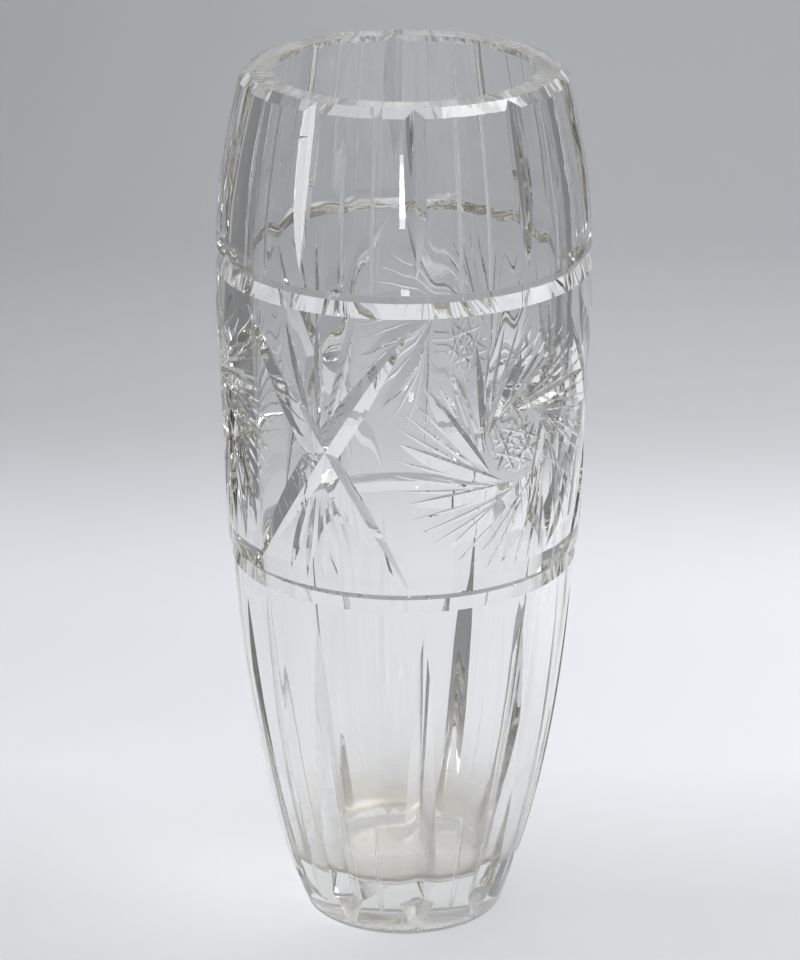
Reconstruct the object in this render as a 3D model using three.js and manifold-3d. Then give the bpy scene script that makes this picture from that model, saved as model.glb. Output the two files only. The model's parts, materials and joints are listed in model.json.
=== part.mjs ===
// Cut crystal vase: one piece of thick lead crystal, blown to a barrel shape, then cut on the
// outside with V-edged wheels and polished. Millimetres, +Z up. The origin is the centre of the
// circle that the foot stands on, and the front of the vase faces -Y.
import * as THREE from "three";
import { mergeVertices } from "three/addons/utils/BufferGeometryUtils.js";
import Module from "manifold-3d";

// Overall size
const HEIGHT = 300;
const LATHE_STEPS = 60;
const SLIVER = 0.03; // facets thinner than this are merged into their neighbours

// Outer barrel: [height, radius] knots of one smooth curve
const BARREL = [
  [0, 34.8],
  [20, 41.7],
  [50, 49],
  [90, 55.5],
  [135, 59.6],
  [190, 61.6],
  [228, 62.7],
  [258, 61.4],
  [282, 57.5],
  [HEIGHT, 53.4],
];

// Walls, mouth and foot
const FLOOR_HEIGHT = 20;
const FLOOR_FILLET = 7;
const FOOT_WALL = 10.4;
const RIM_WALL = 10;
const RIM_CHAMFER = 2.4;
const RIM_CHAMFER_DROP = 2.8;
const STAND_RING_INNER = 28;
const PUNT_DEPTH = 2.5;
const FLUTED_SETBACK = 0.8;

// V grooves round the vase, above and below the figured band
const RING_DEPTH = 2.4;
const UPPER_RING = { bottom: 234.2, valley: 238.6, top: 242 };
const LOWER_RING = { bottom: 129.6, valley: 135.6, top: 138.3 };

// Upright mitre flutes
const FLUTES = 10;
const FLUTE_PITCH = 360 / FLUTES;
// A flute's slope is its half width over its depth.
const UPPER_FLUTE = { azimuth: 3.6, tip: 247, rimDepth: 2.1, slope: 1.4 };
const LOWER_FLUTE = { azimuth: 6.6, tip: 126, footTip: 0.5, deepest: 14, depth: 3.4, slope: 1.6 };
const FLUTE_CUTTER_LID = 2; // lift of a flute cutter's flat side over the barrel
const RUN_ON = { rim: 6, upperTip: 12, lowerTip: 3, foot: 5 }; // cutter points past the flutes' ends

// Figured band: three crossed stars and three pinwheels take turns round the vase
const FIGURES = 3;
const FIGURE_PITCH = 360 / FIGURES;
const BAND_RADIUS = 61;
const STAR = { azimuth: -26, height: 185.5, reachAcross: 28, reachUp: 46, width: 10, depth: 2.8 };
const FAN = { rays: 3, spread: 15, start: 10, end: 45, width: 3, depth: 0.8 };
const PINWHEEL = { azimuth: 36.5, height: 187, turn: -7 };
const VANES = { count: 12, tangentRadius: 11.5, inner: 6, outer: 42, width: 5, depth: 1.7 };
const BUTTON = { radius: 10.5, width: 1.6, depth: 0.8, cuts: 4 };

const wasm = await Module();
wasm.setup();

const radians = THREE.MathUtils.degToRad;

// Smooth curve through [x, y] knots: a cubic Hermite with the slope of each knot's neighbours.
function smoothThrough(knots, x) {
  const last = knots.length - 1;
  const slopeAt = (i) => {
    const a = knots[Math.max(i - 1, 0)];
    const b = knots[Math.min(i + 1, last)];
    return (b[1] - a[1]) / (b[0] - a[0]);
  };
  let i = 0;
  while (i < last - 1 && x > knots[i + 1][0]) i += 1;
  const span = knots[i + 1][0] - knots[i][0];
  const t = (x - knots[i][0]) / span;
  const rise = knots[i + 1][1] - knots[i][1];
  const bendIn = slopeAt(i) * span - rise;
  const bendOut = rise - slopeAt(i + 1) * span;
  return knots[i][1] + rise * t + t * (1 - t) * (bendIn * (1 - t) + bendOut * t);
}

const barrelRadius = (z) => smoothThrough(BARREL, z);
const outerRadius = (z) => barrelRadius(z) - (z < LOWER_RING.valley ? FLUTED_SETBACK * smoothStep(z) : 0);
const wallAt = (z) => THREE.MathUtils.lerp(FOOT_WALL, RIM_WALL, z / HEIGHT);

// The fluted part's setback grows from nothing at the foot to all of it under the lower ring.
function smoothStep(z) {
  return THREE.MathUtils.smoothstep(z, 0, LOWER_RING.bottom);
}

// A point over the barrel: an azimuth from the front, a height, and a lift off the surface.
function overBarrel(azimuth, z, lift) {
  const radius = barrelRadius(THREE.MathUtils.clamp(z, 0, HEIGHT)) + lift;
  const angle = radians(azimuth);
  return new THREE.Vector3(radius * Math.sin(angle), -radius * Math.cos(angle), z);
}

const heights = (from, to, count) =>
  Array.from({ length: count + 1 }, (_, i) => from + ((to - from) * i) / count);

// The turned blank with its ring grooves, rim chamfer, hollow and shallow punt.
function blankGeometry() {
  const profile = [new THREE.Vector2(0, PUNT_DEPTH), new THREE.Vector2(STAND_RING_INNER, 0)];
  const outside = (z) => profile.push(new THREE.Vector2(outerRadius(z), z));
  const groove = ({ bottom, valley, top }) => {
    outside(bottom);
    profile.push(new THREE.Vector2(barrelRadius(valley) - RING_DEPTH, valley));
    outside(top);
  };
  heights(0, LOWER_RING.bottom, 7).slice(0, -1).forEach(outside);
  groove(LOWER_RING);
  heights(LOWER_RING.top, UPPER_RING.bottom, 3).slice(1, -1).forEach(outside);
  groove(UPPER_RING);
  heights(UPPER_RING.top, HEIGHT - RIM_CHAMFER_DROP, 4).slice(1).forEach(outside);
  profile.push(new THREE.Vector2(barrelRadius(HEIGHT) - RIM_CHAMFER, HEIGHT));
  heights(HEIGHT, FLOOR_HEIGHT + FLOOR_FILLET, 8).forEach((z) => {
    profile.push(new THREE.Vector2(barrelRadius(z) - wallAt(z), z));
  });
  const flatRadius = barrelRadius(FLOOR_HEIGHT) - wallAt(FLOOR_HEIGHT) - FLOOR_FILLET;
  [30, 60, 90].forEach((degrees) => {
    const turn = radians(degrees);
    const x = flatRadius + FLOOR_FILLET * Math.cos(turn);
    profile.push(new THREE.Vector2(x, FLOOR_HEIGHT + FLOOR_FILLET * (1 - Math.sin(turn))));
  });
  profile.push(new THREE.Vector2(0, FLOOR_HEIGHT));
  return new THREE.LatheGeometry(profile, LATHE_STEPS).rotateX(Math.PI / 2);
}

// One closed V-shaped cutter: a point, a row of triangular sections, and a point.
// Each section holds its valley and the two upper corners.
function wedgeGeometry(start, sections, end) {
  const points = [start, ...sections.flat(), end];
  const last = points.length - 1;
  const faces = [0, 2, 1, 0, 3, 2, 0, 1, 3];
  for (let i = 0; i < sections.length - 1; i += 1) {
    const a = 1 + 3 * i;
    for (let side = 0; side < 3; side += 1) {
      const p = a + side;
      const q = a + ((side + 1) % 3);
      faces.push(p, q, q + 3, p, q + 3, p + 3);
    }
  }
  const a = last - 3;
  faces.push(a, a + 1, last, a + 1, a + 2, last, a + 2, a, last);
  const geometry = new THREE.BufferGeometry().setFromPoints(points);
  return geometry.setIndex(faces);
}

// A wheel cut along the barrel between two [azimuth, height] ends, deepest in the middle.
function mitreCut(from, to, { width, depth }, steps = 5) {
  const millimetres = radians(1) * BAND_RADIUS;
  const across = (to[0] - from[0]) * millimetres;
  const up = to[1] - from[1];
  const length = Math.hypot(across, up);
  const lid = Math.max(0.35 * depth, 0.15);
  const slope = width / 2 / depth;
  const overrun = (lid * length) / (4 * depth) / length;
  const at = (t, side, lift) => {
    const azimuth = from[0] + ((across * t - up * (side / length)) / millimetres);
    return overBarrel(azimuth, from[1] + up * t + across * (side / length), lift);
  };
  const sections = heights(0, 1, steps).map((t) => {
    const here = 4 * depth * t * (1 - t);
    const half = (here + lid) * slope;
    return [at(t, 0, -here), at(t, half, lid), at(t, -half, lid)];
  });
  return wedgeGeometry(at(-overrun, 0, lid), sections, at(1 + overrun, 0, lid));
}

// An upright V flute whose valley runs through [height, depth] stations.
function fluteCut(azimuth, stations, start, end, slope) {
  const lid = FLUTE_CUTTER_LID;
  const sections = stations.map(([z, depth]) => {
    const half = ((depth + lid) * slope) / radians(1) / barrelRadius(Math.min(z, HEIGHT));
    return [
      overBarrel(azimuth, z, -depth),
      overBarrel(azimuth + half, z, lid),
      overBarrel(azimuth - half, z, lid),
    ];
  });
  return wedgeGeometry(overBarrel(azimuth, start, lid), sections, overBarrel(azimuth, end, lid));
}

// Straight valley from a point on the barrel up through the rim.
function upperFlute(azimuth) {
  const { tip, rimDepth, slope } = UPPER_FLUTE;
  const rimRadius = barrelRadius(HEIGHT) - rimDepth;
  const climb = (rimRadius - barrelRadius(tip)) / (HEIGHT - tip);
  const stations = heights(HEIGHT + 1, tip, 5).map((z) => {
    const valley = barrelRadius(tip) + climb * (z - tip);
    return [z, barrelRadius(Math.min(z, HEIGHT)) - valley];
  });
  return fluteCut(azimuth, stations, HEIGHT + RUN_ON.rim, tip - RUN_ON.upperTip, slope);
}

// The valley sinks in a quarter ellipse from its tip to the foot, then leaves the glass at the
// stand ring.
function lowerFlute(azimuth) {
  const { tip, footTip, deepest, depth, slope } = LOWER_FLUTE;
  const stations = heights(0, Math.PI / 2, 6).map((turn) => [
    deepest + (tip - deepest) * Math.cos(turn),
    depth * Math.sin(turn),
  ]);
  stations.push([footTip, 0]);
  return fluteCut(azimuth, stations, tip + RUN_ON.lowerTip, footTip - RUN_ON.foot, slope);
}

// Two long crossing cuts and a fan of fine rays above and below their crossing.
function starCuts(azimuth) {
  const { height, reachAcross, reachUp } = STAR;
  const cuts = [-1, 1].map((lean) =>
    mitreCut(
      [azimuth - lean * reachAcross, height - reachUp],
      [azimuth + lean * reachAcross, height + reachUp],
      STAR,
      8,
    ),
  );
  [-1, 1].forEach((up) => {
    for (let i = 0; i < FAN.rays; i += 1) {
      const lean = radians((i - (FAN.rays - 1) / 2) * FAN.spread);
      const point = (reach) => [
        azimuth + (reach * Math.sin(lean)) / (radians(1) * BAND_RADIUS),
        height + up * reach * Math.cos(lean),
      ];
      cuts.push(mitreCut(point(FAN.start), point(FAN.end), FAN, 3));
    }
  });
  return cuts;
}

// A point of a pinwheel in its own polar frame.
function wheelPoint(azimuth, radius, turn) {
  return [
    azimuth + (radius * Math.cos(turn)) / (radians(1) * BAND_RADIUS),
    PINWHEEL.height + radius * Math.sin(turn),
  ];
}

// Straight vanes that leave a small circle as tangents, and a button cut with crossed lines.
function pinwheelCuts(azimuth) {
  const cuts = [];
  for (let i = 0; i < VANES.count; i += 1) {
    const turn = (i * 2 * Math.PI) / VANES.count + radians(PINWHEEL.turn);
    const lead = Math.acos(VANES.tangentRadius / VANES.outer);
    const inner = wheelPoint(azimuth, Math.hypot(VANES.tangentRadius, VANES.inner), turn + lead);
    cuts.push(mitreCut(inner, wheelPoint(azimuth, VANES.outer, turn), VANES, 4));
  }
  for (let i = 0; i < BUTTON.cuts; i += 1) {
    const turn = (i * Math.PI) / BUTTON.cuts;
    const ends = [turn, turn + Math.PI].map((t) => wheelPoint(azimuth, BUTTON.radius, t));
    cuts.push(mitreCut(ends[0], ends[1], BUTTON, 2));
  }
  return cuts;
}

function solidOf(geometry) {
  const bare = geometry.index ? geometry.toNonIndexed() : geometry.clone();
  bare.deleteAttribute("normal");
  bare.deleteAttribute("uv");
  const merged = mergeVertices(bare, 1e-4);
  return new wasm.Manifold(
    new wasm.Mesh({
      numProp: 3,
      vertProperties: merged.attributes.position.array,
      triVerts: new Uint32Array(merged.index.array),
    }),
  );
}

function geometryOf(solid) {
  const mesh = solid.getMesh();
  const geometry = new THREE.BufferGeometry();
  geometry.setAttribute("position", new THREE.BufferAttribute(mesh.vertProperties, 3));
  geometry.setIndex(new THREE.BufferAttribute(mesh.triVerts, 1));
  geometry.computeVertexNormals();
  return geometry;
}

const everyTurn = (count, make) => Array.from({ length: count }, (_, i) => make(i));

function vaseGeometry() {
  const cutters = [
    ...everyTurn(FLUTES, (i) => upperFlute(UPPER_FLUTE.azimuth + i * FLUTE_PITCH)),
    ...everyTurn(FLUTES, (i) => lowerFlute(LOWER_FLUTE.azimuth + i * FLUTE_PITCH)),
    ...everyTurn(FIGURES, (i) => starCuts(STAR.azimuth + i * FIGURE_PITCH)).flat(),
    ...everyTurn(FIGURES, (i) => pinwheelCuts(PINWHEEL.azimuth + i * FIGURE_PITCH)).flat(),
  ];
  const blank = solidOf(blankGeometry());
  const cut = cutters.reduce((solid, cutter) => solid.subtract(solidOf(cutter)), blank);
  return geometryOf(cut.simplify(SLIVER));
}

const crystal = new THREE.MeshStandardMaterial({
  color: 0xeef1f3,
  roughness: 0.03,
  metalness: 0,
  transparent: true,
  opacity: 0.35,
});

const vase = new THREE.Group();
const body = new THREE.Mesh(vaseGeometry(), crystal);
body.name = "vase_body";
vase.add(body);

export default vase;
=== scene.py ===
"""A cut lead crystal vase on a pale sweep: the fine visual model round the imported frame."""

import json
import math

import bmesh
import bpy
import numpy as np
from mathutils import Matrix, Vector

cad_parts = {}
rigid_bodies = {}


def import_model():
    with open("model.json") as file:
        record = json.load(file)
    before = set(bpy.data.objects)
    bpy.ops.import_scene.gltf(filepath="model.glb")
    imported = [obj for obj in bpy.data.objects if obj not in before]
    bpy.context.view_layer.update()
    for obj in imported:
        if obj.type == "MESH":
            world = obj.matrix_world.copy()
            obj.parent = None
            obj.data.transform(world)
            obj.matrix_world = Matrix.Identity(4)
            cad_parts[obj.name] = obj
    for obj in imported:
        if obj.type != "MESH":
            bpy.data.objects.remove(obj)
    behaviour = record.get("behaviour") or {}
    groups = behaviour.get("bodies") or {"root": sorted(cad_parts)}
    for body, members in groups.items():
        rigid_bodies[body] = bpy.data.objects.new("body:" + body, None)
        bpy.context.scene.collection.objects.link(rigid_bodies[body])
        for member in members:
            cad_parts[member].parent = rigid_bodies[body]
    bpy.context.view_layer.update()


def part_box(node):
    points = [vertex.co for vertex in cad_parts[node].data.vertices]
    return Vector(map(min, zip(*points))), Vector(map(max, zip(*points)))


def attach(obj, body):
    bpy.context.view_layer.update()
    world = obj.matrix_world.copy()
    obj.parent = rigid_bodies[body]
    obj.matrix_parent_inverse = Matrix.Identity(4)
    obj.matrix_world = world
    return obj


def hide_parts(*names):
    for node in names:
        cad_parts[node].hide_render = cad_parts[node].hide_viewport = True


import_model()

MM = 0.001

# ---------------------------------------------------------------------------------------------
# Sizes of the vase, in millimetres and degrees
# ---------------------------------------------------------------------------------------------

HEIGHT = (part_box("vase_body")[1].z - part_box("vase_body")[0].z) / MM
LATHE_STEPS = 288
PROFILE_POINTS = {"punt": 8, "fluted": 56, "barrel": 64, "wall": 70, "fillet": 9, "floor": 5}

# Outer barrel: heights and radii of the knots of one smooth curve
KNOT_HEIGHTS = np.array([0, 20, 50, 90, 135, 190, 228, 258, 282, HEIGHT], float)
KNOT_RADII = np.array([34.8, 41.7, 49, 55.5, 59.6, 61.6, 62.7, 61.4, 57.5, 53.4])

FLOOR_HEIGHT = 20
FLOOR_FILLET = 7
FOOT_WALL = 10.4
RIM_WALL = 10
RIM_CHAMFER = 2.4
RIM_CHAMFER_DROP = 2.8
STAND_RING_INNER = 28
PUNT_DEPTH = 2.5
FLUTED_SETBACK = 0.8

# Bottom edge, valley and top edge of each ring groove
UPPER_RING = (234.2, 238.6, 242.0)
LOWER_RING = (129.6, 135.6, 138.3)
RING_DEPTH = 2.4

FLUTES = 10
FLUTE_PITCH = 360 / FLUTES
# A flute's slope is its half width over its depth
UPPER_FLUTE = {"azimuth": 3.6, "tip": 247, "rim_depth": 2.1, "slope": 1.4}
LOWER_FLUTE = {"azimuth": 6.6, "tip": 126, "foot_tip": 0.5, "deepest": 14, "depth": 3.4, "slope": 1.6}
FLUTE_SECTIONS = {"upper": 24, "lower": 32}

# Fine upright lines: pairs above, each so far from its flutes' midpoint, and single ones below
LINE_PAIR = 4.7
UPPER_LINE = {"low": UPPER_RING[2], "high": HEIGHT - 1, "width": 1.5, "depth": 0.25}
LOWER_LINE = {"low": 8, "high": LOWER_RING[0] - 0.5, "width": 2.6, "depth": 0.35}
# Share of a line's length over which each end fades out
LINE_FADE = 0.05

# How far the cutters stand proud of the barrel, and how far they run on past a groove's ends
RING_CUTTER_LID = 1.5
FLUTE_CUTTER_LID = 2
LINE_CUTTER_LID = 0.25
MITRE_LID_SHARE = 0.35
MITRE_LID_LEAST = 0.15
RUN_ON = {"rim": 6, "upper_tip": 12, "lower_tip": 3, "foot": 5, "line": 1}

FIGURES = 3
FIGURE_PITCH = 360 / FIGURES
BAND_RADIUS = 61
BAND_DEGREE = math.radians(1) * BAND_RADIUS

STAR_AZIMUTH = -26
STAR_HEIGHT = 185.5
STAR_REACH = (28, 46)
STAR_ARM = {"width": 10, "depth": 2.8}
STAR_FANS = {1: ((8, 46), (-15, 0, 15)), -1: ((14, 45), (-17, -8, 0, 7, 15))}
FAN_RAY = {"width": 3.4, "depth": 0.8}

WHEEL_AZIMUTH = 36.5
WHEEL_HEIGHT = 187
VANES = 12
WHEEL_TURN = -7
VANE_TANGENT = 11.5
VANE_INNER = 5
VANE_OUTER = 41
VANE = {"width": 5.6, "depth": 1.8, "lean": 0.4}
# Sprays start this share of the way along a vane, each line a step further
SPRAY_LINES = 3
SPRAY_ROOT = 0.1
SPRAY_ROOT_STEP = 0.04
SPRAY_OUTER = 43
SPRAY = {"width": 1.5, "depth": 0.38}
BUTTON_RADIUS = 10.8
BUTTON_POINTS = 8
BUTTON_CUT = {"width": 2.0, "depth": 0.55}
# Inner and outer end, width and depth of the rays at the button's centre and round its rim
BUTTON_RAYS = ((0.4, 4.6, 1.5, 0.42), (7.2, 10.6, 1.2, 0.35))

# Waves in the blown inner wall: count round the vase, height, start and twist
RIPPLES = ((17, 0.06, 0.4, 1.0), (29, 0.035, 2.1, -1.6), (43, 0.015, 4.0, 2.3))
RIPPLE_DRIFT = 0.006
RIPPLE_FADE = {"foot": 15, "rim": 6}

# Hand-ground unevenness of the rim's chamfer: size and counts round the vase
CHAMFER_NICK = 0.05
CHAMFER_BEATS = (61, 83, 107, 131)

# Height inside the vase up to which a faint matt beige film is painted as shade, standing in for the
# shaded paper seen through the base, and its share on the floor
SHADE_FILM_TOP = 66
FLOOR_SHADE_FILM = 0.7

# Surfaces of the turned blank and of the cuts, in the order of the working material slots
SURFACES = 7
OUTSIDE, INSIDE, RIM, CHAMFER, UNDERSIDE, POLISHED_CUT, FROSTED_CUT = range(SURFACES)

# How matt each surface is, where 1 is fully frosted
GROUND = {RIM: 0.4, CHAMFER: 0.12, UNDERSIDE: 0.45, FROSTED_CUT: 0.6}

# Edges under this length are merged away, and faces that meet at more than this angle keep a crisp edge
SLIVER = 0.004
CRISP_ANGLE = 14

# ---------------------------------------------------------------------------------------------
# Glass, paper, camera and light, in metres and degrees
# ---------------------------------------------------------------------------------------------

GLASS_IOR = 1.545
GLASS_TINT = (0.5, 0.47, 0.38, 1)
TINT_DENSITY = 4.8
# Beige of the film at the bottom inside: painted shade
SHADE_FILM_COLOUR = (0.43, 0.395, 0.32, 1)
# Roughness and clearness that full frost and the full film of painted shade come to
FROST_ROUGHNESS = (0.004, 0.4)
SHADE_FILM_ROUGHNESS = (0, 0.3)
FROST_CLEARNESS = 0.7
SHADE_FILM_CLEARNESS = 0.3
# Scale and detail of the noise in the surface and in the film of painted shade, and how far each one
# swings
SURFACE_NOISE = (60, 1)
SURFACE_BUMP = 0.00003
SHADE_FILM_NOISE = (55, 6)
SHADE_FILM_SWING = (0.55, 1.1)
STROKE_SCALE = 40
STROKE_SWING = (-0.5, 2.5)

PAPER = (0.80, 0.81, 0.83)
PAPER_ROUGHNESS = 0.75
PAPER_SHEEN = 0.2
# The paper is painted greyer above this height, as shade on the upright wall, and greyer in front of
# the far end of this stretch
SHADED_WALL_HEIGHT = 0.06
SHADED_WALL_SHARE = 0.75
FRONT_GREY_STRETCH = (-0.01, 0.1)
FRONT_GREY_SHARE = 0.8

SWEEP_FRONT = -0.7
SWEEP_HALF_WIDTH = 0.36
SWEEP_TRIMMED = 0.25
SWEEP_CURVE_START = 0.23
SWEEP_CURVE_RADIUS = 0.13
SWEEP_CURVE_POINTS = 25
SWEEP_TOP = 1.6

CAMERA_PLACE = (-0.0013, -1.112, 0.587)
CAMERA_DOWN = 21.2
SENSOR_WIDTH = 36
FOCAL_LENGTH = 131.25

# The room's brightness from straight down (0) to straight up (1), and its slight blueness
ROOM_STOPS = ((0.0, 0.22), (0.3, 0.28), (0.7, 0.5), (1.0, 0.85))
ROOM_TINT = (0.97, 0.99, 1.03)
SOFTBOXES = {
    "overhead": {
        "place": (0.75, 0.02, 1.25),
        "aim": (0.05, 0.08, 0),
        "size": (0.9, 0.9),
        "power": 13.8,
    },
    "window": {
        "place": (-0.035, -1.96, 0.36),
        "aim": (0, 0, 0.27),
        "size": (0.12, 0.28),
        "power": 1.1,
    },
}

# Light crosses many glass walls on its way, and a low limit leaves black patches
LIGHT_BOUNCES = 64


# ---------------------------------------------------------------------------------------------
# Barrel
# ---------------------------------------------------------------------------------------------


def knot_slopes():
    """The barrel curve's slope at each knot, from the knots on either side."""
    last = len(KNOT_HEIGHTS) - 1
    before = np.maximum(np.arange(last + 1) - 1, 0)
    after = np.minimum(np.arange(last + 1) + 1, last)
    return (KNOT_RADII[after] - KNOT_RADII[before]) / (KNOT_HEIGHTS[after] - KNOT_HEIGHTS[before])


KNOT_SLOPES = knot_slopes()


def barrel_radius(z):
    """Radius of the smooth barrel at a height, before any cut."""
    z = np.clip(np.asarray(z, float), 0, HEIGHT)
    i = np.clip(np.searchsorted(KNOT_HEIGHTS, z, side="right") - 1, 0, len(KNOT_HEIGHTS) - 2)
    span = KNOT_HEIGHTS[i + 1] - KNOT_HEIGHTS[i]
    t = (z - KNOT_HEIGHTS[i]) / span
    rise = KNOT_RADII[i + 1] - KNOT_RADII[i]
    bend_in = KNOT_SLOPES[i] * span - rise
    bend_out = rise - KNOT_SLOPES[i + 1] * span
    return KNOT_RADII[i] + rise * t + t * (1 - t) * (bend_in * (1 - t) + bend_out * t)


def outer_radius(z):
    """The barrel, set back under the lower ring where the flutes are."""
    t = np.clip(np.asarray(z, float) / LOWER_RING[0], 0, 1)
    setback = np.where(np.asarray(z) < LOWER_RING[1], FLUTED_SETBACK * t * t * (3 - 2 * t), 0)
    return barrel_radius(z) - setback


def inner_radius(z):
    z = np.asarray(z, float)
    return barrel_radius(z) - (FOOT_WALL + (RIM_WALL - FOOT_WALL) * z / HEIGHT)


def slope_of(radius, z):
    reach = 0.05
    return (radius(z + reach) - radius(z - reach)) / (2 * reach)


def over_barrel(azimuth, z, lift):
    """A point at an azimuth from the front and a height, lifted off the barrel."""
    radius = float(barrel_radius(z)) + lift
    turn = math.radians(azimuth)
    return (radius * math.sin(turn), -radius * math.cos(turn), z)


# ---------------------------------------------------------------------------------------------
# The turned blank
# ---------------------------------------------------------------------------------------------

WALL_FOOT_LEAN = math.atan(float(slope_of(inner_radius, FLOOR_HEIGHT + FLOOR_FILLET)))
FILLET_TOP = FLOOR_HEIGHT + FLOOR_FILLET * (1 - math.sin(WALL_FOOT_LEAN))
FILLET_CENTRE = float(inner_radius(FILLET_TOP)) - FLOOR_FILLET * math.cos(WALL_FOOT_LEAN)


def blank_profile():
    """(radius, height, surface up to there) from the centre of the underside round to the floor's."""
    stretches = []

    def add(points, surface):
        stretches.extend((float(r), float(z), surface) for r, z in points)

    punt = np.linspace(0, STAND_RING_INNER, PROFILE_POINTS["punt"])
    add([(r, PUNT_DEPTH * (1 - (r / STAND_RING_INNER) ** 2)) for r in punt], UNDERSIDE)
    add([(outer_radius(0), 0)], UNDERSIDE)
    fluted = np.linspace(0, LOWER_RING[1], PROFILE_POINTS["fluted"])
    add([(outer_radius(z), z) for z in fluted[1:-1]], OUTSIDE)
    barrel = np.linspace(LOWER_RING[1], HEIGHT - RIM_CHAMFER_DROP, PROFILE_POINTS["barrel"])
    add([(barrel_radius(z), z) for z in barrel], OUTSIDE)
    add([(barrel_radius(HEIGHT) - RIM_CHAMFER, HEIGHT)], CHAMFER)
    add([(inner_radius(HEIGHT), HEIGHT)], RIM)
    wall = np.linspace(HEIGHT, FILLET_TOP, PROFILE_POINTS["wall"])
    add([(inner_radius(z), z) for z in wall[1:]], INSIDE)
    for turn in np.linspace(WALL_FOOT_LEAN, math.pi / 2, PROFILE_POINTS["fillet"])[1:]:
        r = FILLET_CENTRE + FLOOR_FILLET * math.cos(turn)
        add([(r, FLOOR_HEIGHT + FLOOR_FILLET * (1 - math.sin(turn)))], INSIDE)
    floor = np.linspace(FILLET_CENTRE, 0, PROFILE_POINTS["floor"])
    add([(r, FLOOR_HEIGHT) for r in floor[1:]], INSIDE)
    return stretches


def ripple(turn, z, surface):
    """How far the glass wanders from round: slow waves inside, hand-ground nicks on the chamfer."""
    if surface == CHAMFER:
        return sum(CHAMFER_NICK * math.sin(n * turn + n * n) for n in CHAMFER_BEATS)
    if surface != INSIDE or z <= FILLET_TOP:
        return 0
    fade = min((z - FILLET_TOP) / RIPPLE_FADE["foot"], (HEIGHT - z) / RIPPLE_FADE["rim"], 1)
    drift = RIPPLE_DRIFT * z
    waves = sum(a * math.sin(n * turn + p + drift * k) for n, a, p, k in RIPPLES)
    return fade * waves


def lathe(profile):
    """Vertices, faces and the surface of each face of a profile that starts and ends on the axis."""
    turns = np.arange(LATHE_STEPS) * 2 * math.pi / LATHE_STEPS
    verts = [(0, 0, profile[0][1])]
    rings = [[0] * LATHE_STEPS]
    for r, z, surface in profile[1:-1]:
        rings.append(list(range(len(verts), len(verts) + LATHE_STEPS)))
        for t in turns:
            reach = r + ripple(t, z, surface)
            verts.append((reach * math.cos(t), reach * math.sin(t), z))
    rings.append([len(verts)] * LATHE_STEPS)
    verts.append((0, 0, profile[-1][1]))
    faces, surfaces = [], []
    for low, high, (_, _, surface) in zip(rings, rings[1:], profile[1:]):
        for j in range(LATHE_STEPS):
            k = (j + 1) % LATHE_STEPS
            corners = dict.fromkeys((low[j], low[k], high[k], high[j]))
            faces.append(tuple(corners))
            surfaces.append(surface)
    return verts, faces, surfaces


# ---------------------------------------------------------------------------------------------
# Cutters
# ---------------------------------------------------------------------------------------------


def wedge(start, sections, end):
    """A closed V-shaped cutter: a point, a row of (valley, upper corner, upper corner), and a point."""
    verts = [start] + [corner for section in sections for corner in section] + [end]
    last = len(verts) - 1
    faces = [(0, 2, 1), (0, 3, 2), (0, 1, 3)]
    for i in range(len(sections) - 1):
        a = 1 + 3 * i
        for side in range(3):
            p, q = a + side, a + (side + 1) % 3
            faces += [(p, q, q + 3), (p, q + 3, p + 3)]
    a = last - 3
    faces += [(a, a + 1, last), (a + 1, a + 2, last), (a + 2, a, last)]
    return verts, faces


def mitre(start, end, width, depth, lean=0, steps=16):
    """A wheel cut between two (azimuth, height) ends. lean makes its left facet the wider one."""
    across = (end[0] - start[0]) * BAND_DEGREE
    up = end[1] - start[1]
    length = math.hypot(across, up)
    lid = max(MITRE_LID_SHARE * depth, MITRE_LID_LEAST)
    slope = width / 2 / depth
    overrun = lid / (4 * depth)

    def at(t, side, lift):
        azimuth = start[0] + (across * t - up * side / length) / BAND_DEGREE
        return over_barrel(azimuth, start[1] + up * t + across * side / length, lift)

    sections = []
    for t in np.linspace(0, 1, steps + 1):
        here = 4 * depth * t * (1 - t)
        half = (here + lid) * slope
        left, right = at(t, half * (1 + lean), lid), at(t, -half * (1 - lean), lid)
        sections.append((at(t, 0, -here), left, right))
    return wedge(at(-overrun, 0, lid), sections, at(1 + overrun, 0, lid))


def upright(azimuth, stations, start, end, slope, lid):
    """An upright V groove whose valley runs down through (height, depth) stations."""
    sections = []
    for z, depth in stations:
        half = math.degrees((depth + lid) * slope / float(barrel_radius(z)))
        sections.append(
            (
                over_barrel(azimuth, z, -depth),
                over_barrel(azimuth + half, z, lid),
                over_barrel(azimuth - half, z, lid),
            )
        )
    return wedge(over_barrel(azimuth, start, lid), sections, over_barrel(azimuth, end, lid))


def upper_flute(azimuth):
    """The valley climbs in a straight line from its tip and runs out over the rim."""
    tip, rim_depth = UPPER_FLUTE["tip"], UPPER_FLUTE["rim_depth"]
    tip_radius = float(barrel_radius(tip))
    climb = (float(barrel_radius(HEIGHT)) - rim_depth - tip_radius) / (HEIGHT - tip)
    stations = []
    for z in np.linspace(HEIGHT + 1, tip, FLUTE_SECTIONS["upper"]):
        stations.append((z, float(barrel_radius(z)) - tip_radius - climb * (z - tip)))
    start, end = HEIGHT + RUN_ON["rim"], tip - RUN_ON["upper_tip"]
    return upright(azimuth, stations, start, end, UPPER_FLUTE["slope"], FLUTE_CUTTER_LID)


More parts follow.
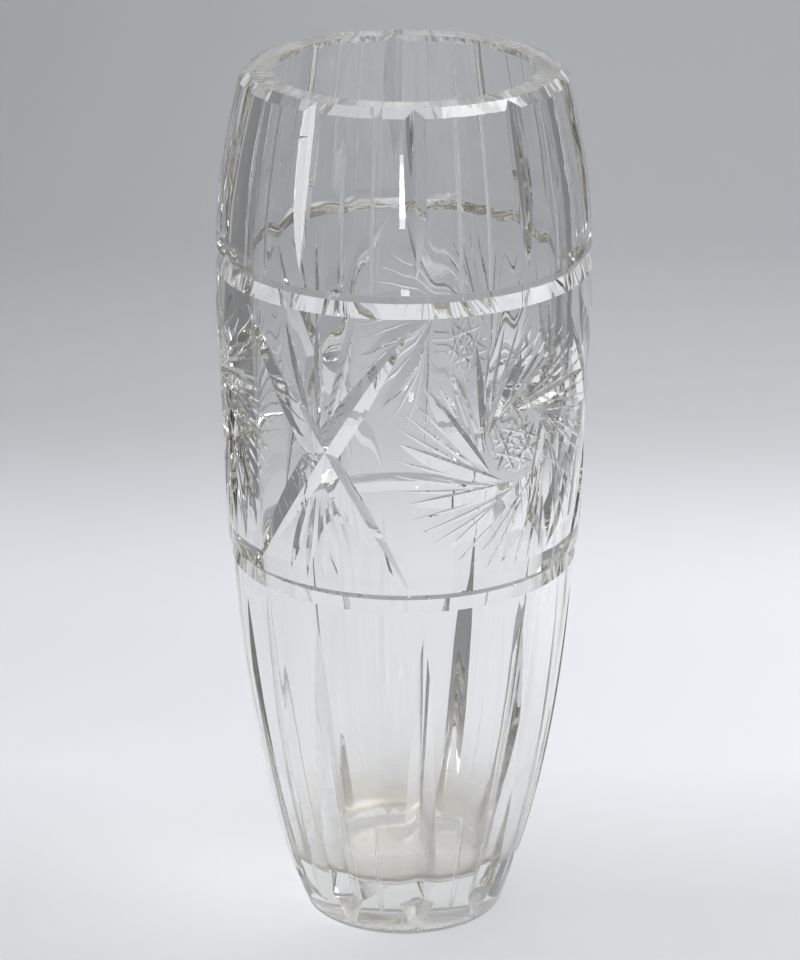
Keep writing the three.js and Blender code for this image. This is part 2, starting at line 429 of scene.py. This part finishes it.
def lower_flute(azimuth):
    """The valley sinks in a quarter ellipse from its tip to the foot."""
    tip, deepest, depth = (LOWER_FLUTE[k] for k in ("tip", "deepest", "depth"))
    foot_tip = LOWER_FLUTE["foot_tip"]
    stations = []
    for turn in np.linspace(0, math.pi / 2, FLUTE_SECTIONS["lower"]):
        stations.append((deepest + (tip - deepest) * math.cos(turn), depth * math.sin(turn)))
    stations.append((foot_tip, 0))
    start, end = tip + RUN_ON["lower_tip"], foot_tip - RUN_ON["foot"]
    return upright(azimuth, stations, start, end, LOWER_FLUTE["slope"], FLUTE_CUTTER_LID)


def upright_line(azimuth, low, high, width, depth):
    """A fine line of even depth that fades out at both ends."""
    slope = width / 2 / depth
    fade = LINE_FADE * (high - low)
    stations = [(high, 0), (high - fade, depth)]
    stations += [(z, depth) for z in np.linspace(high - 2 * fade, low + 2 * fade, 24)]
    stations += [(low + fade, depth), (low, 0)]
    start, end = high + RUN_ON["line"], low - RUN_ON["line"]
    return upright(azimuth, stations, start, end, slope, LINE_CUTTER_LID)


def ring_groove(bottom, valley, top):
    """The cutter of a V groove right round the vase: a closed ring with a three-cornered section."""
    valley_radius = float(barrel_radius(valley)) - RING_DEPTH
    section = [(valley_radius, valley)]
    for edge in (bottom, top):
        edge_radius = float(barrel_radius(edge))
        stretch = (RING_DEPTH + RING_CUTTER_LID) / (edge_radius - valley_radius)
        reach = valley_radius + (edge_radius - valley_radius) * stretch
        section.append((reach, valley + (edge - valley) * stretch))
    verts, faces = [], []
    for j in range(LATHE_STEPS):
        turn = (j + 0.5) * 2 * math.pi / LATHE_STEPS
        verts += [(r * math.cos(turn), r * math.sin(turn), z) for r, z in section]
        here, there = 3 * j, 3 * ((j + 1) % LATHE_STEPS)
        for side in range(3):
            p, q = side, (side + 1) % 3
            faces.append((here + p, there + p, there + q, here + q))
    return verts, faces


def star_cuts(azimuth):
    """Two long crossing cuts, and the polished fans above and below their crossing."""
    cuts = []
    for lean in (-1, 1):
        start = (azimuth - lean * STAR_REACH[0], STAR_HEIGHT - STAR_REACH[1])
        end = (azimuth + lean * STAR_REACH[0], STAR_HEIGHT + STAR_REACH[1])
        cuts.append(mitre(start, end, steps=32, **STAR_ARM))
    for up, (reaches, angles) in STAR_FANS.items():
        for angle in angles:
            turn = math.radians(angle)
            ends = []
            for reach in reaches:
                across, rise = reach * math.sin(turn), up * reach * math.cos(turn)
                ends.append((azimuth + across / BAND_DEGREE, STAR_HEIGHT + rise))
            cuts.append(mitre(*ends, **FAN_RAY))
    return cuts


def wheel_point(azimuth, radius, turn):
    """(azimuth, height) of a point at a radius and a turn round a pinwheel's centre."""
    return (azimuth + radius * math.cos(turn) / BAND_DEGREE, WHEEL_HEIGHT + radius * math.sin(turn))


def vane_ends(azimuth, turn):
    """A vane leaves a small circle as a tangent and ends on a large one."""
    lead = math.acos(VANE_TANGENT / VANE_OUTER)
    inner = wheel_point(azimuth, math.hypot(VANE_TANGENT, VANE_INNER), turn + lead)
    return inner, wheel_point(azimuth, VANE_OUTER, turn)


def vane_cuts(azimuth):
    step = 2 * math.pi / VANES
    start = math.radians(WHEEL_TURN)
    return [mitre(*vane_ends(azimuth, start + i * step), **VANE) for i in range(VANES)]


def spray_cuts(azimuth):
    """Fine lines that fan out from the root of each vane into the gap beside it."""
    cuts = []
    step = 2 * math.pi / VANES
    start = math.radians(WHEEL_TURN)
    for i in range(VANES):
        inner, outer = vane_ends(azimuth, start + (i + 1) * step)
        for j in range(1, SPRAY_LINES + 1):
            share = SPRAY_ROOT + SPRAY_ROOT_STEP * j
            root = tuple(a + (b - a) * share for a, b in zip(inner, outer))
            tip = wheel_point(azimuth, SPRAY_OUTER, start + (i + j / (SPRAY_LINES + 1)) * step)
            cuts.append(mitre(root, tip, steps=10, **SPRAY))
    return cuts


def button_cuts(azimuth):
    """An eight-pointed star of chords with fine rays at its centre and round its rim."""
    cuts = []
    step = 2 * math.pi / BUTTON_POINTS
    for i in range(BUTTON_POINTS):
        ends = [wheel_point(azimuth, BUTTON_RADIUS, (i + k) * step) for k in (0, 3)]
        cuts.append(mitre(*ends, steps=6, **BUTTON_CUT))
    for i in range(BUTTON_POINTS):
        for low, high, width, depth in BUTTON_RAYS:
            ends = [wheel_point(azimuth, reach, (i + 0.5) * step) for reach in (low, high)]
            cuts.append(mitre(*ends, width, depth, steps=4))
    return cuts


def all_cutters():
    """(vertices, faces) of each cutter, polished cuts first and then the frosted ones."""
    polished = [ring_groove(*UPPER_RING), ring_groove(*LOWER_RING)]
    frosted = []
    for i in range(FLUTES):
        polished.append(upper_flute(UPPER_FLUTE["azimuth"] + i * FLUTE_PITCH))
        polished.append(lower_flute(LOWER_FLUTE["azimuth"] + i * FLUTE_PITCH))
        middle = UPPER_FLUTE["azimuth"] + (i + 0.5) * FLUTE_PITCH
        for side in (-1, 1):
            spot = middle + side * LINE_PAIR
            frosted.append(upright_line(spot, **UPPER_LINE))
        middle = LOWER_FLUTE["azimuth"] + (i + 0.5) * FLUTE_PITCH
        frosted.append(upright_line(middle, **LOWER_LINE))
    for i in range(FIGURES):
        polished += star_cuts(STAR_AZIMUTH + i * FIGURE_PITCH)
        wheel = WHEEL_AZIMUTH + i * FIGURE_PITCH
        polished += vane_cuts(wheel) + spray_cuts(wheel) + button_cuts(wheel)
    return polished, frosted


# ---------------------------------------------------------------------------------------------
# Meshes
# ---------------------------------------------------------------------------------------------


def face_out(mesh):
    """Turns a closed mesh's faces to point out, and splits them to triangles."""
    work = bmesh.new()
    work.from_mesh(mesh)
    if work.calc_volume(signed=True) < 0:
        bmesh.ops.reverse_faces(work, faces=work.faces)
    bmesh.ops.triangulate(work, faces=work.faces)
    work.to_mesh(mesh)
    work.free()


def cutter_object(verts, faces, marker):
    mesh = bpy.data.meshes.new("cutter")
    mesh.from_pydata([tuple(map(float, v)) for v in verts], [], faces)
    face_out(mesh)
    mesh.materials.append(marker)
    return bpy.data.objects.new("cutter", mesh)


def analytic_normals(points, surface):
    """Exact normals of the turned surfaces at these points."""
    r = np.maximum(np.hypot(points[:, 0], points[:, 1]), 1e-6)
    z = points[:, 2]
    if surface == OUTSIDE:
        across, up = np.ones_like(z), -slope_of(outer_radius, z)
    elif surface == RIM:
        across, up = np.zeros_like(z), np.ones_like(z)
    else:
        bowl = 2 * PUNT_DEPTH * r / STAND_RING_INNER**2
        across, up = np.where(r < STAND_RING_INNER, -bowl, 0), -np.ones_like(z)
    size = np.hypot(across, up)
    return np.stack([points[:, 0] / r * across / size, points[:, 1] / r * across / size, up / size], 1)


def cut_mesh():
    """The blank with every cut taken out of it, and the materials that mark its surfaces."""
    verts, faces, surfaces = lathe(blank_profile())
    mesh = bpy.data.meshes.new("vase_crystal")
    mesh.from_pydata(verts, [], faces)
    markers = [bpy.data.materials.new(f"surface_{i}") for i in range(SURFACES)]
    for marker in markers:
        mesh.materials.append(marker)
    mesh.polygons.foreach_set("material_index", surfaces)
    face_out(mesh)
    vase = bpy.data.objects.new("vase_crystal", mesh)
    bpy.context.scene.collection.objects.link(vase)

    bench = bpy.data.collections.new("cutters")
    bpy.context.scene.collection.children.link(bench)
    for marker, cutters in zip(markers[POLISHED_CUT:], all_cutters()):
        for verts, faces in cutters:
            bench.objects.link(cutter_object(verts, faces, marker))
    cut = vase.modifiers.new("cut", "BOOLEAN")
    cut.operation = "DIFFERENCE"
    cut.operand_type = "COLLECTION"
    cut.collection = bench
    cut.solver = "MANIFOLD"
    cut.material_mode = "TRANSFER"
    evaluated = vase.evaluated_get(bpy.context.evaluated_depsgraph_get())
    result = bpy.data.meshes.new_from_object(evaluated)
    vase.modifiers.clear()
    for cutter in list(bench.objects):
        bpy.data.meshes.remove(cutter.data)
    bpy.data.collections.remove(bench)
    vase.data = result
    return vase, markers


def drop_slivers(mesh):
    """Drops slivers and splits every face to triangles."""
    work = bmesh.new()
    work.from_mesh(mesh)
    bmesh.ops.triangulate(work, faces=work.faces)
    bmesh.ops.dissolve_degenerate(work, dist=SLIVER, edges=work.edges)
    bmesh.ops.triangulate(work, faces=work.faces)
    work.to_mesh(mesh)
    work.free()


def dress(vase, markers, finish):
    """Sets the normals, and swaps the markers for one finish and records of frost and of the film of
    painted shade at the bottom inside.
    """
    mesh = vase.data
    slots = [mesh.materials[i].name for i in range(len(mesh.materials))]
    surface_of_slot = np.array([[m.name for m in markers].index(name) for name in slots])
    of_face = np.zeros(len(mesh.polygons), np.int32)
    mesh.polygons.foreach_get("material_index", of_face)
    surface_of_face = surface_of_slot[of_face]
    mesh.polygons.foreach_set("use_smooth", [True] * len(mesh.polygons))
    mesh.set_sharp_from_angle(angle=math.radians(CRISP_ANGLE))
    normals = np.zeros(len(mesh.loops) * 3, np.float32)
    mesh.corner_normals.foreach_get("vector", normals)
    normals = normals.reshape(-1, 3)
    corner_vertex = np.zeros(len(mesh.loops), np.int32)
    mesh.loops.foreach_get("vertex_index", corner_vertex)
    places = np.zeros(len(mesh.vertices) * 3, np.float32)
    mesh.vertices.foreach_get("co", places)
    places = places.reshape(-1, 3).astype(float)
    counts = np.zeros(len(mesh.polygons), np.int32)
    mesh.polygons.foreach_get("loop_total", counts)
    surface_of_corner = np.repeat(surface_of_face, counts)
    for surface in (OUTSIDE, RIM, UNDERSIDE):
        here = surface_of_corner == surface
        normals[here] = analytic_normals(places[corner_vertex[here]], surface)
    mesh.normals_split_custom_set(normals)
    mesh.materials.clear()
    mesh.materials.append(finish)
    mesh.polygons.foreach_set("material_index", [0] * len(mesh.polygons))
    frost = mesh.attributes.new("frost", "FLOAT", "FACE")
    shares = np.array([GROUND.get(surface, 0) for surface in range(SURFACES)], np.float32)
    frost.data.foreach_set("value", shares[surface_of_face])
    # Film of painted shade: on the inside wall, strongest at the bottom, weaker on the floor
    inside = np.zeros(len(places), bool)
    inside[corner_vertex[surface_of_corner == INSIDE]] = True
    low = np.clip((SHADE_FILM_TOP - places[:, 2]) / (SHADE_FILM_TOP - FLOOR_HEIGHT), 0, 1)
    low[places[:, 2] < FLOOR_HEIGHT + 0.1] *= FLOOR_SHADE_FILM
    painted_shade = mesh.attributes.new("painted_shade", "FLOAT", "POINT")
    painted_shade.data.foreach_set("value", (inside * low * low).astype(np.float32))
    for marker in markers:
        bpy.data.materials.remove(marker)
    mesh.transform(Matrix.Scale(MM, 4))
    mesh.update()


# ---------------------------------------------------------------------------------------------
# Materials
# ---------------------------------------------------------------------------------------------


def crystal():
    """Clear lead glass with a soft ripple, a faint tint, frosted lines, and a beige film of painted
    shade at the bottom inside.
    """
    material = bpy.data.materials.new("crystal")
    material.use_nodes = True
    nodes, links = material.node_tree.nodes, material.node_tree.links
    shader = nodes["Principled BSDF"]
    shader.inputs["IOR"].default_value = GLASS_IOR
    place = nodes.new("ShaderNodeTexCoord")

    def noise(scale, detail):
        node = nodes.new("ShaderNodeTexNoise")
        node.inputs["Scale"].default_value = scale
        node.inputs["Detail"].default_value = detail
        links.new(place.outputs["Object"], node.inputs["Vector"])
        return node.outputs["Fac"]

    def attribute(name):
        node = nodes.new("ShaderNodeAttribute")
        node.attribute_name = name
        return node.outputs["Fac"]

    def spread(value, low, high):
        node = nodes.new("ShaderNodeMapRange")
        node.inputs["To Min"].default_value = low
        node.inputs["To Max"].default_value = high
        links.new(value, node.inputs["Value"])
        return node.outputs["Result"]

    def maths(operation, first, second):
        node = nodes.new("ShaderNodeMath")
        node.operation = operation
        links.new(first, node.inputs[0])
        links.new(second, node.inputs[1])
        return node.outputs["Value"]

    bump = nodes.new("ShaderNodeBump")
    bump.inputs["Distance"].default_value = SURFACE_BUMP
    links.new(noise(*SURFACE_NOISE), bump.inputs["Height"])
    links.new(bump.outputs["Normal"], shader.inputs["Normal"])
    split = nodes.new("ShaderNodeSeparateXYZ")
    links.new(place.outputs["Object"], split.inputs["Vector"])
    strokes = nodes.new("ShaderNodeTexNoise")
    strokes.noise_dimensions = "1D"
    strokes.inputs["Scale"].default_value = STROKE_SCALE
    links.new(maths("ARCTAN2", split.outputs["Y"], split.outputs["X"]), strokes.inputs["W"])
    frost = maths("MULTIPLY", attribute("frost"), spread(strokes.outputs["Fac"], *STROKE_SWING))
    # Matt beige film inside the foot, painted as shade where the paper under the vase is seen
    shade_film = maths("MULTIPLY", attribute("painted_shade"), spread(noise(*SHADE_FILM_NOISE), *SHADE_FILM_SWING))
    rough = maths("ADD", spread(frost, *FROST_ROUGHNESS), spread(shade_film, *SHADE_FILM_ROUGHNESS))
    links.new(rough, shader.inputs["Roughness"])
    clear = maths("MULTIPLY", spread(frost, 1, FROST_CLEARNESS), spread(shade_film, 1, SHADE_FILM_CLEARNESS))
    links.new(clear, shader.inputs["Transmission Weight"])
    # The film's beige is painted shade
    colour = nodes.new("ShaderNodeMix")
    colour.data_type = "RGBA"
    colour.inputs["A"].default_value = (1, 1, 1, 1)
    colour.inputs["B"].default_value = SHADE_FILM_COLOUR
    links.new(shade_film, colour.inputs["Factor"])
    links.new(colour.outputs["Result"], shader.inputs["Base Color"])
    tint = nodes.new("ShaderNodeVolumeAbsorption")
    tint.inputs["Color"].default_value = GLASS_TINT
    tint.inputs["Density"].default_value = TINT_DENSITY
    links.new(tint.outputs["Volume"], nodes["Material Output"].inputs["Volume"])
    return material


def paper():
    """Studio paper, palest just behind the vase, greyer in front, and painted greyer as shade where it
    curves up.
    """
    material = bpy.data.materials.new("sweep_paper")
    material.use_nodes = True
    nodes, links = material.node_tree.nodes, material.node_tree.links
    shader = nodes["Principled BSDF"]
    shader.inputs["Roughness"].default_value = PAPER_ROUGHNESS
    shader.inputs["Specular IOR Level"].default_value = PAPER_SHEEN
    place = nodes.new("ShaderNodeTexCoord")
    split = nodes.new("ShaderNodeSeparateXYZ")
    links.new(place.outputs["Object"], split.inputs["Vector"])
    # Painted shade: the paper darkens as it rises into the wall
    rise = nodes.new("ShaderNodeMapRange")
    rise.inputs["From Max"].default_value = SHADED_WALL_HEIGHT
    links.new(split.outputs["Z"], rise.inputs["Value"])
    ramp = nodes.new("ShaderNodeValToRGB")
    ramp.color_ramp.interpolation = "EASE"
    ramp.color_ramp.elements[0].color = (*PAPER, 1)
    ramp.color_ramp.elements[1].color = (*[SHADED_WALL_SHARE * c for c in PAPER], 1)
    links.new(rise.outputs["Result"], ramp.inputs["Fac"])
    # The paper greys towards the front
    front_grey = nodes.new("ShaderNodeMapRange")
    front_grey.inputs["From Min"].default_value = FRONT_GREY_STRETCH[0]
    front_grey.inputs["From Max"].default_value = FRONT_GREY_STRETCH[1]
    front_grey.inputs["To Min"].default_value = FRONT_GREY_SHARE
    links.new(split.outputs["Y"], front_grey.inputs["Value"])
    shade = nodes.new("ShaderNodeVectorMath")
    shade.operation = "SCALE"
    links.new(ramp.outputs["Color"], shade.inputs["Vector"])
    links.new(front_grey.outputs["Result"], shade.inputs["Scale"])
    links.new(shade.outputs["Vector"], shader.inputs["Base Color"])
    return material


# ---------------------------------------------------------------------------------------------
# Camera, sweep and light
# ---------------------------------------------------------------------------------------------


def add_camera():
    data = bpy.data.cameras.new("camera")
    data.sensor_width = SENSOR_WIDTH
    data.sensor_fit = "AUTO"
    data.lens = FOCAL_LENGTH
    camera = bpy.data.objects.new("camera", data)
    camera.location = CAMERA_PLACE
    camera.rotation_euler = (math.radians(90 - CAMERA_DOWN), 0, 0)
    bpy.context.scene.collection.objects.link(camera)
    bpy.context.scene.camera = camera


def add_sweep():
    """A sheet of paper that curves up behind the vase, trimmed on the left where it rises."""
    profile = [(SWEEP_FRONT, 0), (SWEEP_CURVE_START, 0)]
    for turn in np.linspace(0, math.pi / 2, SWEEP_CURVE_POINTS)[1:]:
        y = SWEEP_CURVE_START + SWEEP_CURVE_RADIUS * math.sin(turn)
        profile.append((y, SWEEP_CURVE_RADIUS * (1 - math.cos(turn))))
    profile.append((SWEEP_CURVE_START + SWEEP_CURVE_RADIUS, SWEEP_TOP))
    verts = []
    for y, z in profile:
        left = SWEEP_TRIMMED if z > 0 else SWEEP_HALF_WIDTH
        verts += [(-left, y, z), (SWEEP_HALF_WIDTH, y, z)]
    faces = [(2 * i, 2 * i + 1, 2 * i + 3, 2 * i + 2) for i in range(len(profile) - 1)]
    mesh = bpy.data.meshes.new("sweep")
    mesh.from_pydata(verts, [], faces)
    mesh.polygons.foreach_set("use_smooth", [True] * len(faces))
    mesh.materials.append(paper())
    sweep = bpy.data.objects.new("sweep", mesh)
    bpy.context.scene.collection.objects.link(sweep)


def add_softbox(name, place, aim, size, power):
    """A rectangular lamp at a place, turned towards a point."""
    data = bpy.data.lights.new(name, "AREA")
    data.shape = "RECTANGLE"
    data.size, data.size_y = size
    data.energy = power
    light = bpy.data.objects.new(name, data)
    light.location = place
    light.rotation_euler = (Vector(aim) - Vector(place)).to_track_quat("-Z", "Y").to_euler()
    bpy.context.scene.collection.objects.link(light)


def add_light():
    """A room that is bright overhead and dark at eye level, and the softboxes."""
    world = bpy.data.worlds.new("room")
    world.use_nodes = True
    nodes, links = world.node_tree.nodes, world.node_tree.links
    bpy.context.scene.world = world
    place = nodes.new("ShaderNodeTexCoord")
    split = nodes.new("ShaderNodeSeparateXYZ")
    links.new(place.outputs["Generated"], split.inputs["Vector"])
    ramp = nodes.new("ShaderNodeValToRGB")
    ramp.color_ramp.interpolation = "EASE"
    while len(ramp.color_ramp.elements) < len(ROOM_STOPS):
        ramp.color_ramp.elements.new(0.5)
    for element, (height, value) in zip(ramp.color_ramp.elements, ROOM_STOPS):
        element.position = height
        element.color = (*[value * share for share in ROOM_TINT], 1)
    links.new(split.outputs["Z"], ramp.inputs["Fac"])
    links.new(ramp.outputs["Color"], nodes["Background"].inputs["Color"])
    for name, softbox in SOFTBOXES.items():
        add_softbox(name, **softbox)


def main():
    scene = bpy.context.scene
    scene.view_settings.view_transform = "Standard"
    scene.cycles.max_bounces = LIGHT_BOUNCES
    scene.cycles.transmission_bounces = LIGHT_BOUNCES
    scene.cycles.glossy_bounces = LIGHT_BOUNCES
    add_camera()
    add_sweep()
    add_light()
    vase, markers = cut_mesh()
    drop_slivers(vase.data)
    dress(vase, markers, crystal())
    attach(vase, "root")
    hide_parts("vase_body")
    vase.visible_shadow = False
    print("visual triangles", len(vase.data.polygons))


main()
